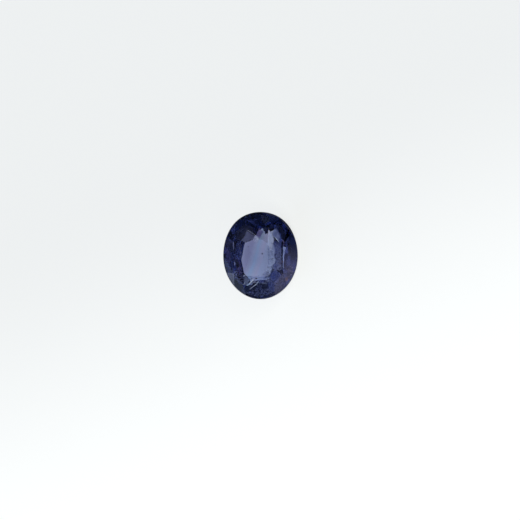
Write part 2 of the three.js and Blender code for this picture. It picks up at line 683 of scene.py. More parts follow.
@dataclass(frozen=True)
class Inclusion(ABC):
    """Something that is closed up in the crystal, one piece of the model."""

    name: str
    finish: InclusionFinish

    @abstractmethod
    def shape(self, cut: CutFrame) -> bmesh.types.BMesh:
        """Builds the shape in its place, in metres."""

    def build(self, workshop: Workshop) -> bpy.types.Object:
        """Builds the piece and dresses it.

        Args:
            workshop: The shared node groups and the cutter's frame.

        Returns:
            The piece.
        """
        mesh = finished_mesh(self.name, self.shape(workshop.cut))
        return link_piece(self.name, mesh, self.finish.make(workshop))


class Facing(Enum):
    """The ways that blades face: how far each leans over from the table and where to, in degrees."""

    UPPER_LIGHT = (6, 90)
    LOWER_LIGHT = (9, 270)
    TOP = (20, 90)
    LEFT = (4, 180)
    LEFT_CROWN = (41, 180)
    UPPER_LEFT_CROWN = (33, 135)
    RIGHT = (4, 0)
    RIGHT_SLOPE = (15, 0)
    RIGHT_STEEP = (30, 0)
    RIGHT_CROWN = (33, 0)
    RIGHT_LOW_CROWN = (33, 345)
    LOWER_RIGHT_CROWN = (33, 318)


STREAK_TAPER = ((0.0, 0.15), (0.25, 1.0), (0.6, 0.9), (1.0, 0.1))  # shares of its length and width


def streak(start: Flat, end: Flat, width: float) -> Outline:
    """Outlines a slender streak that tapers to both ends.

    Args:
        start: One end.
        end: The other end.
        width: Its width in the middle.

    Returns:
        The outline, anticlockwise.
    """
    along = Vector(end) - Vector(start)
    across = Vector((-along.y, along.x)).normalized() * width / 2
    right = [Vector(start) + along * share - across * part for share, part in STREAK_TAPER]
    left = [Vector(start) + along * share + across * part for share, part in STREAK_TAPER]
    return tuple((corner.x, corner.y) for corner in [*right, *reversed(left)])


@dataclass(frozen=True)
class Blade:
    """A flat blade: a thin gap or veil in the crystal, or a sheet of painted shade. Its depth is that of
    its middle.
    """

    outline: Outline
    depth: float
    facing: Facing = Facing.UPPER_LIGHT
    thickness: float = 0.004

    def middle(self) -> Flat:
        """The mean of the outline's corners."""
        return (sum(x for x, _ in self.outline) / len(self.outline),
                sum(y for _, y in self.outline) / len(self.outline))

    def height(self, x: float, y: float) -> float:
        """Finds how high the blade lies at a place.

        Args:
            x: How far to the right the place is.
            y: How far up it is.

        Returns:
            The height over the middle of the girdle.
        """
        normal = leaned(*self.facing.value)
        middle_x, middle_y = self.middle()
        return self.depth - (normal.x * (x - middle_x) + normal.y * (y - middle_y)) / normal.z


@dataclass(frozen=True)
class Feathers(Inclusion):
    """Feathers, veils, stains and sheets of painted shade: each a closed flat prism on its outline."""

    blades: tuple[Blade, ...]

    def add_corners(self, shape: bmesh.types.BMesh, cut: CutFrame, blade: Blade,
                    drop: float) -> tuple[bmesh.types.BMVert, list[bmesh.types.BMVert]]:
        """Adds the corners of one side of a blade.

        Args:
            shape: The feathers.
            cut: The cutter's frame.
            blade: The blade.
            drop: How far the side lies below the blade's own height.

        Returns:
            The side's middle and its rim.
        """
        rim = [shape.verts.new(cut.point(x, y, blade.height(x, y) - drop)) for x, y in blade.outline]
        hub = shape.verts.new(cut.point(*blade.middle(), blade.depth - drop))
        hub[shape.verts.layers.float[INNER]] = 1.0
        return hub, rim

    def add_blade(self, shape: bmesh.types.BMesh, cut: CutFrame, blade: Blade) -> None:
        """Adds one blade.

        Args:
            shape: The feathers.
            cut: The cutter's frame.
            blade: The blade.
        """
        upper_hub, upper = self.add_corners(shape, cut, blade, 0.0)
        lower_hub, lower = self.add_corners(shape, cut, blade, blade.thickness)
        for i in range(len(upper)):
            j = (i + 1) % len(upper)
            shape.faces.new((upper_hub, upper[i], upper[j]))
            shape.faces.new((lower_hub, lower[j], lower[i]))
            shape.faces.new((upper[i], lower[i], lower[j], upper[j]))

    def shape(self, cut: CutFrame) -> bmesh.types.BMesh:
        """Builds the blades.

        Args:
            cut: The cutter's frame.

        Returns:
            The blades.
        """
        shape = bmesh.new()
        shape.verts.layers.float.new(INNER)
        for blade in self.blades:
            self.add_blade(shape, cut, blade)
        bmesh.ops.recalc_face_normals(shape, faces=shape.faces)
        return shape


@dataclass(frozen=True)
class Speck:
    """A small crystal: its place, how wide it is, how long for its width, and its turn in degrees."""

    place: Point
    size: float
    slimness: float
    turn: float


@dataclass(frozen=True)
class Specks(Inclusion):
    """Small crystals with uneven faces."""

    specks: tuple[Speck, ...]
    fineness: int = 2
    unevenness: float = 0.3
    lump_scale: float = 3.0

    def shape(self, cut: CutFrame) -> bmesh.types.BMesh:
        """Builds the specks, each from a ball one unit across.

        Args:
            cut: The cutter's frame.

        Returns:
            The specks.
        """
        shape = bmesh.new()
        for number, speck in enumerate(self.specks):
            made = bmesh.ops.create_icosphere(shape, subdivisions=self.fineness, radius=0.5)
            turned = Matrix.Rotation(math.radians(speck.turn), 3, "Z")
            for vertex in made["verts"]:
                lump = noise.noise(vertex.co * self.lump_scale + Vector((number, 0, 0)))
                swell = 1 + self.unevenness * lump
                long = Vector((vertex.co.x * speck.slimness, vertex.co.y, vertex.co.z))
                local = long * swell * speck.size
                vertex.co = cut.point(*(turned @ local + Vector(speck.place)))
        return shape


@dataclass(frozen=True)
class Sheet:
    """A curved oval sheet in the stone that grains lie on. Its turns are in degrees."""

    middle: Point
    half_width: float
    half_length: float
    turn: float
    lean: float
    lean_turn: float
    bow: float
    steps: int = 12

    def mesh(self, cut: CutFrame) -> bpy.types.Mesh:
        """Makes the sheet as an open mesh that only carries grains.

        Args:
            cut: The cutter's frame.

        Returns:
            The sheet's mesh.
        """
        shape = bmesh.new()
        bmesh.ops.create_grid(shape, x_segments=self.steps, y_segments=self.steps, size=1.0)
        turned = Matrix.Rotation(math.radians(self.turn), 2)
        slope = math.tan(math.radians(self.lean))
        heading = math.radians(self.lean_turn)
        downhill = Vector((math.cos(heading), math.sin(heading)))
        outside = [vertex for vertex in shape.verts if vertex.co.xy.length > 1.0]
        bmesh.ops.delete(shape, geom=outside, context="VERTS")
        for vertex in shape.verts:
            flat = turned @ Vector((vertex.co.x * self.half_width, vertex.co.y * self.half_length))
            wave = noise.noise(Vector((flat.x, flat.y, self.turn))) * self.bow
            sag = self.bow * vertex.co.xy.length_squared
            height = self.middle[2] - slope * flat.dot(downhill) + wave - sag
            vertex.co = cut.point(self.middle[0] + flat.x, self.middle[1] + flat.y, height)
        return finished_mesh("sheet", shape)


class GrainShape(Enum):
    """What a grain on a sheet is."""

    DROPLET = "droplet"
    NEEDLE = "needle"


DROPLET_FINENESS = 1
NEEDLE_SIDES = 4
NEEDLE_WAYS = 3  # silk lies in three directions, a sixth of a turn apart
NEEDLE_TURN = math.radians(60)


@dataclass(frozen=True)
class Grains(Inclusion):
    """Many small grains on curved sheets: droplets of a fingerprint or needles of silk.

    Density is in grains per square millimetre, and size is a grain's radius.
    """

    grain: GrainShape
    sheets: tuple[Sheet, ...]
    density: float
    size: float
    least_share: float
    seed: int
    length: float = 0.0
    first_turn: float = 0.0

    def start_tree(self) -> bpy.types.NodeTree:
        """Starts the node tree with its named inputs.

        Returns:
            The tree.
        """
        tree = bpy.data.node_groups.new(self.name, "GeometryNodeTree")
        socket = tree.interface.new_socket
        socket(name="Sheet", in_out="INPUT", socket_type="NodeSocketGeometry")
        for label in ("Density", "Size", "Least share", "Length", "First turn"):
            socket(name=label, in_out="INPUT", socket_type="NodeSocketFloat")
        socket(name="Seed", in_out="INPUT", socket_type="NodeSocketInt")
        socket(name="Out axis", in_out="INPUT", socket_type="NodeSocketVector")
        socket(name="Grains", in_out="OUTPUT", socket_type="NodeSocketGeometry")
        return tree

    def grain_mesh(self, tree: bpy.types.NodeTree, start: bpy.types.Node) -> bpy.types.NodeSocket:
        """Adds one grain.

        Args:
            tree: The tree.
            start: Its input node.

        Returns:
            The grain's mesh.
        """
        if self.grain is GrainShape.DROPLET:
            grain = add_node(tree, "GeometryNodeMeshIcoSphere")
            set_inputs(grain, Subdivisions=DROPLET_FINENESS, Radius=start.outputs["Size"])
        else:
            grain = add_node(tree, "GeometryNodeMeshCone")
            set_inputs(grain, Vertices=NEEDLE_SIDES, Radius_Top=0.0, Radius_Bottom=start.outputs["Size"],
                       Depth=start.outputs["Length"])
        return grain.outputs["Mesh"]

    def needle_turn(self, tree: bpy.types.NodeTree, start: bpy.types.Node) -> bpy.types.NodeSocket:
        """Adds the way that each needle lies: flat under the table, in one of its directions.

        Args:
            tree: The tree.
            start: Its input node.

        Returns:
            The needle's rotation.
        """
        upright = add_node(tree, "FunctionNodeAlignRotationToVector", axis="Z")
        set_inputs(upright, Vector=start.outputs["Out axis"])
        way = add_node(tree, "FunctionNodeRandomValue", data_type="INT")
        set_inputs(way, Min=0, Max=NEEDLE_WAYS - 1, Seed=start.outputs["Seed"])
        turn = compute(tree, "MULTIPLY_ADD", way.outputs["Value"], NEEDLE_TURN, start.outputs["First turn"])
        spin = add_node(tree, "ShaderNodeCombineXYZ")
        set_inputs(spin, Z=turn)
        spun = add_node(tree, "FunctionNodeRotateRotation", rotation_space="LOCAL")
        set_inputs(spun, Rotation=upright.outputs["Rotation"], Rotate_By=spin.outputs["Vector"])
        flat = add_node(tree, "FunctionNodeRotateRotation", rotation_space="LOCAL")
        set_inputs(flat, Rotation=spun.outputs["Rotation"], Rotate_By=(0.0, math.pi / 2, 0.0))
        return flat.outputs["Rotation"]

    def tree(self, material: bpy.types.Material) -> bpy.types.NodeTree:
        """Builds the node tree that strews the grains.

        Args:
            material: The grains' finish.

        Returns:
            The tree.
        """
        tree = self.start_tree()
        start = add_node(tree, "NodeGroupInput")
        seed = start.outputs["Seed"]
        strew = add_node(tree, "GeometryNodeDistributePointsOnFaces", distribute_method="RANDOM")
        set_inputs(strew, Mesh=start.outputs["Sheet"], Density=start.outputs["Density"], Seed=seed)
        if self.grain is GrainShape.DROPLET:
            lie = add_node(tree, "FunctionNodeAlignRotationToVector", axis="Z")
            set_inputs(lie, Vector=strew.outputs["Normal"])
            turned = lie.outputs["Rotation"]
        else:
            turned = self.needle_turn(tree, start)
        share = add_node(tree, "FunctionNodeRandomValue", data_type="FLOAT")
        set_inputs(share, Min=start.outputs["Least share"], Max=1.0, Seed=seed)
        place = add_node(tree, "GeometryNodeInstanceOnPoints")
        set_inputs(place, Points=strew.outputs["Points"], Instance=self.grain_mesh(tree, start),
                   Rotation=turned, Scale=share.outputs["Value"])
        real = add_node(tree, "GeometryNodeRealizeInstances")
        set_inputs(real, Geometry=place.outputs["Instances"])
        dress = add_node(tree, "GeometryNodeSetMaterial")
        set_inputs(dress, Geometry=real.outputs["Geometry"], Material=material)
        set_inputs(add_node(tree, "NodeGroupOutput"), Grains=dress.outputs["Geometry"])
        return tree

    def shape(self, cut: CutFrame) -> bmesh.types.BMesh:
        """Builds the sheets that the grains are strewn on.

        Args:
            cut: The cutter's frame.

        Returns:
            The sheets.
        """
        shape = bmesh.new()
        for sheet in self.sheets:
            mesh = sheet.mesh(cut)
            shape.from_mesh(mesh)
            bpy.data.meshes.remove(mesh)
        return shape

    def build(self, workshop: Workshop) -> bpy.types.Object:
        """Builds the grains as one piece and dresses them.

        Args:
            workshop: The shared node groups and the cutter's frame.

        Returns:
            The piece.
        """
        material = self.finish.make(workshop)
        tree = self.tree(material)
        carrier = put_in_scene("carrier", finished_mesh("carrier", self.shape(workshop.cut)))
        modifier = carrier.modifiers.new("grains", "NODES")
        modifier.node_group = tree
        values = {
            "Density": self.density / MM ** 2, "Size": self.size * MM, "Least share": self.least_share,
            "Length": self.length * MM, "First turn": math.radians(self.first_turn), "Seed": self.seed,
            "Out axis": workshop.cut.out,
        }
        for item in tree.interface.items_tree:
            if item.name in values:
                modifier[item.identifier] = values[item.name]
        evaluated = carrier.evaluated_get(bpy.context.evaluated_depsgraph_get())
        mesh = bpy.data.meshes.new_from_object(evaluated)
        bpy.data.objects.remove(carrier)
        return link_piece(self.name, mesh, material)


# Feathers that mirror the light

BRIGHT_FEATHERS = Feathers("bright_feathers", InclusionFinish(
    "bright feather", light_tone=(0.74, 0.85, 1.0), dark_tone=(0.6, 0.72, 1.0), roughness=0.2), (
    Blade(((-1.02, -2.56), (-0.92, -2.61), (-0.62, -2.32), (-0.63, -2.24), (-0.74, -2.25)), 0.75),
    Blade(((-1.3, -2.8), (-1.24, -2.81), (-0.92, -2.59), (-1.0, -2.53)), 0.78, Facing.LOWER_LIGHT),
    Blade(((-0.37, -2.57), (-0.3, -2.6), (-0.17, -2.49), (-0.2, -2.45)), 0.75),
    Blade(((-1.05, -3.16), (-1.0, -3.17), (-0.28, -2.6), (-0.34, -2.55)), 0.65, Facing.LOWER_LIGHT),
    Blade(streak((-0.7, -2.57), (-0.38, -2.37), 0.035), 0.7),
    Blade(streak((1.36, 1.76), (1.76, 1.24), 0.07), 0.8),
    Blade(streak((-1.26, 2.45), (-0.5, 1.93), 0.035), 0.57),
    Blade(streak((-1.62, -1.98), (-1.46, -1.8), 0.08), 0.5),
    Blade(streak((-1.6, -1.8), (-1.5, -1.98), 0.06), 0.45),
    Blade(streak((-1.64, -2.69), (-1.4, -2.45), 0.05), 0.6, Facing.LOWER_LIGHT),
    Blade(streak((-0.47, 1.94), (-0.12, 1.57), 0.05), 0.3),
    Blade(streak((-0.47, 1.94), (-0.75, 1.45), 0.04), 0.3),
    Blade(streak((-1.74, -0.35), (-1.5, 1.27), 0.035), 0.3),
    Blade(streak((-1.74, -0.35), (-1.56, -1.5), 0.03), 0.3),
))
PALE_FEATHERS = Feathers("pale_feathers", InclusionFinish(
    "pale feather", light_tone=(0.8, 0.86, 1.0), dark_tone=(0.66, 0.74, 1.0), roughness=0.2,
    cloud_scale=1500.0, cloud_spread=(0.3, 0.7)), (
    Blade(((0.75, 2.5), (0.68, 1.66), (0.66, 1.05), (0.85, 0.7), (0.95, 0.3), (1.1, 0.75), (1.2, 1.25),
           (1.18, 1.71), (0.92, 2.23)), 0.5),
    Blade(((-0.47, 1.94), (-0.75, 1.45), (-0.45, 1.25), (-0.12, 1.57)), 0.4),
    Blade(streak((0.4, 1.2), (1.25, 1.05), 0.13), 0.25),
))
EDGE_FEATHER = Feathers("edge_feather", InclusionFinish(
    "dim feather", light_tone=(0.33, 0.42, 0.72), dark_tone=(0.22, 0.28, 0.52), cloud_scale=2500.0), (
    Blade(((2.12, 0.84), (2.12, -1.2), (2.17, -1.2), (2.2, 0.3), (2.4, 0.8)), 0.9, Facing.RIGHT_CROWN),
))
SLATE_FEATHER = Feathers("slate_feather", InclusionFinish(
    "slate feather", light_tone=(0.4, 0.48, 0.84), dark_tone=(0.29, 0.35, 0.66), cloud_scale=2500.0), (
    Blade(((1.3, 2.5), (1.13, 2.05), (1.2, 1.88), (1.7, 1.3), (1.8, 1.4), (1.8, 2.0), (1.45, 2.5)), 0.72),
))
MAUVE_FEATHER = Feathers("mauve_feather", InclusionFinish(
    "mauve feather", light_tone=(0.48, 0.43, 0.82), dark_tone=(0.4, 0.37, 0.7), roughness=0.4, cover=0.95,
    fade=0.1, cloud_spread=(-0.5, 0.1)), (
    Blade(((-0.14, 2.52), (0.29, 2.31), (0.05, 1.85), (-0.11, 1.63), (-0.43, 1.93)), 0.5),
))


# Painted shade lines, stains, fibres and faint lines

# Dark streaks of painted shade, laid in the crystal to darken thin lines of the stone.
PAINTED_SHADE_LINES = Feathers("painted_shade_lines", InclusionFinish(
    "painted shade line", light_tone=(0.05, 0.05, 0.12), dark_tone=(0.01, 0.01, 0.04), metallic=0.0), (
    Blade(streak((1.17, 1.8), (1.84, 1.06), 0.1), 0.62),
    Blade(streak((0.65, 2.42), (0.66, 1.9), 0.035), 0.55),
))
IRON_STAIN = Feathers("iron_stain", InclusionFinish(
    "iron stain", light_tone=(0.5, 0.28, 0.18), dark_tone=(0.26, 0.14, 0.12), roughness=0.4, cover=0.6,
    cloud_scale=6000.0), (
    Blade(streak((1.75, -0.86), (2.26, -0.45), 0.08), 0.55, Facing.RIGHT_SLOPE),
    Blade(((2.3, -1.95), (2.5, -1.9), (2.62, -2.15), (2.45, -2.4), (2.28, -2.3)), 0.25, Facing.RIGHT_STEEP),
    Blade(((-0.95, -3.72), (-0.8, -3.62), (-0.6, -3.68), (-0.75, -3.78)), 0.1),
))
FIBRES = Feathers("fibres", InclusionFinish(
    "fibre", light_tone=(0.22, 0.2, 0.34), dark_tone=(0.13, 0.12, 0.22), roughness=0.4, cover=0.6,
    cloud_scale=5000.0), (
    Blade(streak((-2.52, -0.5), (-2.3, -0.2), 0.06), 0.3),
    Blade(streak((1.56, -2.52), (2.25, -1.84), 0.07), 0.35, Facing.LOWER_RIGHT_CROWN),
    Blade(streak((1.75, -2.6), (2.5, -1.9), 0.05), 0.25, Facing.LOWER_RIGHT_CROWN),
    Blade(streak((1.35, -2.75), (2.0, -2.1), 0.04), 0.3, Facing.LOWER_RIGHT_CROWN),
    Blade(streak((2.05, -2.45), (2.6, -1.95), 0.05), 0.2, Facing.LOWER_RIGHT_CROWN),
    Blade(streak((1.6, -2.9), (2.2, -2.35), 0.04), 0.2, Facing.LOWER_RIGHT_CROWN),
    Blade(((2.55, -1.0), (2.95, -1.0), (3.1, -1.6), (2.8, -1.9), (2.5, -1.5)), 0.3, Facing.RIGHT_LOW_CROWN),
))
FAINT_LINES = Feathers("faint_lines", InclusionFinish(
    "faint line", light_tone=(0.5, 0.55, 0.85), dark_tone=(0.3, 0.32, 0.55), metallic=0.0, roughness=0.6), (
    Blade(streak((-2.35, 2.11), (-1.55, 2.7), 0.05), 0.55, Facing.UPPER_LEFT_CROWN),
    Blade(streak((-2.1, 2.05), (-1.45, 2.55), 0.04), 0.6, Facing.UPPER_LEFT_CROWN),
    Blade(streak((-2.6, 1.6), (-2.3, 2.0), 0.04), 0.5, Facing.UPPER_LEFT_CROWN),
    Blade(streak((-1.95, 1.0), (-1.85, -0.4), 0.05), 0.3),
    Blade(streak((-2.1, 1.2), (-2.0, 0.5), 0.04), 0.3),
))


# Hazes, veils and sheets of painted shade

FINGERPRINT_HAZE = Feathers("fingerprint_haze", InclusionFinish(
    "fingerprint haze", light_tone=(0.6, 0.7, 1.0), dark_tone=(0.46, 0.54, 0.9), roughness=0.22, cover=0.95,
    fade=0.16, cloud_scale=9000.0, cloud_spread=(0.2, 0.55)), (
    Blade(((0.68, 1.3), (0.66, 0.3), (0.66, -1.0), (0.45, -1.9), (0.6, -2.15), (0.85, -1.95), (1.02, -1.5),
           (1.2, -0.9), (1.5, -0.5), (1.3, 0.0), (1.4, 0.5), (1.28, 1.1), (1.1, 1.35)), 0.6),
    Blade(((-1.35, -1.9), (0.5, -2.0), (0.95, -1.85), (0.98, -2.2), (0.3, -2.32), (-0.3, -2.36),
           (-1.1, -2.48)), 0.15),
))
THIN_HAZE = Feathers("thin_haze", InclusionFinish(
    "thin haze", light_tone=(0.56, 0.64, 1.0), dark_tone=(0.42, 0.48, 0.88), cover=0.6, fade=0.5,
    cloud_scale=9000.0, cloud_spread=(0.3, 0.6)), (
    Blade(((1.0, 1.4), (0.95, -0.3), (1.0, -1.7), (1.6, -1.75), (2.1, -1.5), (2.08, -0.3), (2.08, 0.8),
           (1.7, 1.4)), 0.35),
    Blade(((0.35, -2.3), (0.9, -2.1), (1.15, -2.2), (1.1, -2.5), (0.4, -2.52)), 0.3),
    Blade(((0.0, -1.95), (0.35, -1.5), (0.8, -1.35), (0.95, -1.9), (0.4, -2.15)), 0.75),
))
# Dark, faded sheets of painted shade, laid in the crystal to darken parts of the stone.
PAINTED_SHADE_VEIL = Feathers("painted_shade_veil", InclusionFinish(
    "painted shade veil", light_tone=(0.1, 0.12, 0.25), dark_tone=(0.06, 0.08, 0.18), roughness=0.5, cover=0.75,
    fade=0.25, cloud_spread=(0.0, 0.4)), (
    Blade(((-3.1, 1.5), (-2.4, 1.4), (-2.35, 0.3), (-2.7, 0.2), (-3.05, 0.7)), 0.45, Facing.LEFT),
    Blade(((-2.43, -0.45), (-2.22, -0.28), (-2.04, -0.55), (-2.0, -1.0), (-2.14, -1.3), (-2.36, -1.1)), 0.5,
          Facing.LEFT),
    Blade(((-2.4, 1.5), (-2.3, 2.2), (-1.8, 2.75), (-1.2, 2.85), (-0.65, 2.65), (-0.4, 2.1), (-0.6, 1.8),
           (-1.2, 1.65), (-1.75, 1.25)), 0.35),
    Blade(((1.3, 3.1), (1.9, 2.8), (2.4, 2.1), (2.3, 1.5), (2.0, 1.3), (1.84, 1.5), (1.8, 2.0),
           (1.42, 2.52)), 0.45),
    Blade(((0.0, 3.85), (0.75, 3.85), (0.95, 3.2), (0.5, 2.85), (0.1, 3.1)), 0.4, Facing.TOP),
    Blade(((-1.5, -2.75), (-0.9, -2.6), (-0.3, -2.75), (-0.55, -3.25), (-1.1, -3.4), (-1.6, -3.1)), 0.4,
          Facing.LOWER_LIGHT),
    Blade(((0.0, -2.55), (0.75, -2.6), (0.85, -3.05), (0.15, -3.05)), 0.5, Facing.LOWER_LIGHT),
    Blade(((0.18, 2.56), (0.62, 2.56), (0.62, 2.34), (0.44, 2.3), (0.3, 2.32)), 0.7),
    Blade(((2.35, 1.5), (2.7, 1.4), (2.9, 0.8), (2.85, 0.0), (2.55, -0.1), (2.45, 0.6)), 0.4, Facing.RIGHT),
))
PALE_CLOUD = Feathers("pale_cloud", InclusionFinish(
    "pale cloud", light_tone=(0.5, 0.45, 0.92), dark_tone=(0.36, 0.35, 0.8), metallic=0.0, roughness=0.6,
    cover=0.5, fade=0.5, cloud_scale=2500.0, cloud_spread=(0.1, 0.6)), (
    Blade(((-3.25, 0.9), (-2.8, 0.9), (-2.65, 0.0), (-2.75, -0.9), (-3.15, -0.8), (-3.35, 0.1)), 0.3,
          Facing.LEFT_CROWN),
    Blade(((-2.45, -0.1), (-1.98, -0.2), (-1.72, -1.2), (-1.75, -1.95), (-2.2, -1.7), (-2.45, -0.9)), 0.4,
          Facing.LEFT),
    Blade(((1.98, 1.6), (2.2, 1.5), (2.32, 0.95), (2.15, 0.86)), 0.8, Facing.RIGHT_CROWN),
))
MILKY_VEIL = Feathers("milky_veil", InclusionFinish(
    "milky veil", light_tone=(0.55, 0.62, 1.0), dark_tone=(0.4, 0.45, 0.8), roughness=0.45, cover=0.38,
    fade=0.45, cloud_scale=6000.0, cloud_spread=(0.3, 0.65)), (
    Blade(((0.75, -1.95), (1.1, -2.1), (1.2, -2.5), (0.8, -2.45)), 0.3),
    Blade(((-2.05, 1.5), (-1.75, 1.3), (-1.72, -0.3), (-2.0, -0.4)), 0.3),
    Blade(((-2.25, -0.9), (-1.75, -1.0), (-1.6, -1.9), (-2.1, -2.0)), 0.3),
    Blade(((1.2, -1.8), (1.7, -1.5), (2.3, -1.4), (2.6, -1.9), (2.1, -2.4), (1.5, -2.5)), 0.15),
    Blade(((-2.45, -1.2), (-1.75, -1.7), (-1.2, -2.2), (-1.3, -2.75), (-1.9, -2.6), (-2.5, -1.8)), 0.2),
    Blade(((-1.4, -2.7), (-0.2, -2.3), (0.9, -2.2), (1.7, -2.0), (2.4, -2.4), (1.6, -3.5), (0.4, -3.9),
           (-1.0, -3.6)), 0.1, Facing.LOWER_LIGHT),
    Blade(((-2.2, -2.9), (-0.5, -2.9), (1.0, -2.9), (2.0, -3.1), (1.3, -3.75), (0.0, -4.0), (-1.3, -3.75)),
          0.05, Facing.LOWER_LIGHT),
))
SMOKY_VEIL = Feathers("smoky_veil", InclusionFinish(
    "smoky veil", light_tone=(0.54, 0.6, 0.88), dark_tone=(0.45, 0.44, 0.8), roughness=0.48, cover=0.9,
    fade=0.25, cloud_scale=1800.0, cloud_spread=(0.0, 0.3)), (
    Blade(((-1.33, 2.44), (-0.55, 1.89), (-0.6, 1.75), (-0.76, 1.52), (-1.33, 1.33), (-1.52, 1.16),
           (-1.88, 1.4), (-1.5, 1.95)), 0.55),
    Blade(((-1.5, -1.85), (-1.2, -2.15), (-0.9, -2.25), (-1.15, -2.6), (-1.5, -2.75), (-1.6, -2.3)), 0.5),
))


# Crystals, droplets and needles

DARK_CRYSTALS = Specks("dark_crystals", InclusionFinish(
    "dark crystal", light_tone=(0.05, 0.03, 0.03), dark_tone=(0.008, 0.006, 0.01), metallic=0.0), (
    Speck((0.17, 0.185, 0.3), 0.13, 1.2, 30),
    Speck((-0.4, -2.15, 0.2), 0.12, 1.5, 10),
    Speck((-0.2, -1.92, 0.2), 0.05, 1.5, 10),
    Speck((-0.85, -2.14, 0.2), 0.06, 1.5, 10),
    Speck((-1.14, 0.85, 0.2), 0.06, 1.5, 40),
    Speck((2.5, -1.27, 0.62), 0.14, 1.6, 80),
    Speck((0.85, -1.8, 0.66), 0.16, 1.5, 20),
    Speck((0.95, -1.5, 0.66), 0.11, 1.6, 60),
    Speck((1.25, -1.35, 0.1), 0.1, 1.3, 0),
    Speck((0.6, -1.97, 0.2), 0.08, 1.2, 45),
    Speck((0.72, -1.1, 0.66), 0.06, 1.2, 45),
    Speck((1.0, -0.3, 0.68), 0.05, 1.3, 60),
    Speck((1.1, 0.35, 0.68), 0.04, 1.2, 20),
    Speck((0.95, 0.75, 0.68), 0.035, 1.4, 80),
))
FINGERPRINT = Grains(
    "fingerprint", InclusionFinish(
        "fingerprint droplet", light_tone=(0.85, 0.88, 1.0), dark_tone=(0.3, 0.32, 0.55), metallic=0.6),
    GrainShape.DROPLET, (
        Sheet((1.45, -0.35, 0.72), 0.95, 1.95, turn=0, lean=4, lean_turn=180, bow=0.06),
        Sheet((0.8, -0.6, 0.7), 0.6, 1.6, turn=8, lean=4, lean_turn=200, bow=0.06),
    ), density=46, size=0.038, least_share=0.25, seed=4)
SILK = Grains(
    "silk", InclusionFinish(
        "silk", light_tone=(0.9, 0.9, 1.0), dark_tone=(0.6, 0.6, 0.75), metallic=0.5),
    GrainShape.NEEDLE, (
        Sheet((0.3, -3.1, 0.15), 2.0, 0.8, turn=0, lean=0, lean_turn=0, bow=0.1),
        Sheet((2.3, -1.8, 0.1), 0.9, 1.6, turn=-20, lean=0, lean_turn=0, bow=0.1),
        Sheet((-2.7, 0.2, 0.1), 0.6, 2.2, turn=0, lean=0, lean_turn=0, bow=0.1),
    ), density=60, size=0.006, least_share=0.3, seed=7, length=0.3, first_turn=45)

# The pieces in the crystal: inclusions, and the lines and veil of painted shade.
INCLUSIONS_AND_PAINTED_SHADE: tuple[Inclusion, ...] = (
    BRIGHT_FEATHERS, PALE_FEATHERS, EDGE_FEATHER, SLATE_FEATHER, MAUVE_FEATHER,
    PAINTED_SHADE_LINES, IRON_STAIN, FIBRES,
    FINGERPRINT_HAZE, THIN_HAZE, FAINT_LINES, PAINTED_SHADE_VEIL, PALE_CLOUD, MILKY_VEIL, SMOKY_VEIL,
    DARK_CRYSTALS, FINGERPRINT, SILK,
)


# The studio

@dataclass(frozen=True)
class Patch:
    """A soft round patch of the surroundings, far away, where a lamp or a dark card stands.

    Its place is given as seen from the stone: how far it leans from the way out of the table, and where it
    is as one looks at the table, anticlockwise from the right. All angles are in degrees.
    """

    lean: float
    turn: float
    half_angle: float
    soft: float
    level: Colour


SURROUNDINGS = (
    Patch(0, 0, 30, 5, (0.5, 0.5, 0.5)),
    Patch(97, 168, 16, 6, (0.09, 0.1, 0.24)),
    Patch(33, 212, 8, 4, (0.9, 0.9, 0.9)),
    Patch(21, 270, 8, 4, (0.7, 0.7, 0.7)),
    Patch(22, 90, 9, 4, (0.9, 0.9, 0.9)),
    Patch(43, 48, 8, 4, (0.8, 0.8, 0.8)),
    Patch(69, 174, 5, 2, (0.3, 0.3, 0.3)),
    Patch(103, 212, 26, 5, (0.26, 0.33, 0.52)),
    Patch(111, 210, 8, 3, (0.75, 0.88, 1.3)),
    Patch(0, 0, 7, 3, (0.04, 0.04, 0.04)),
)


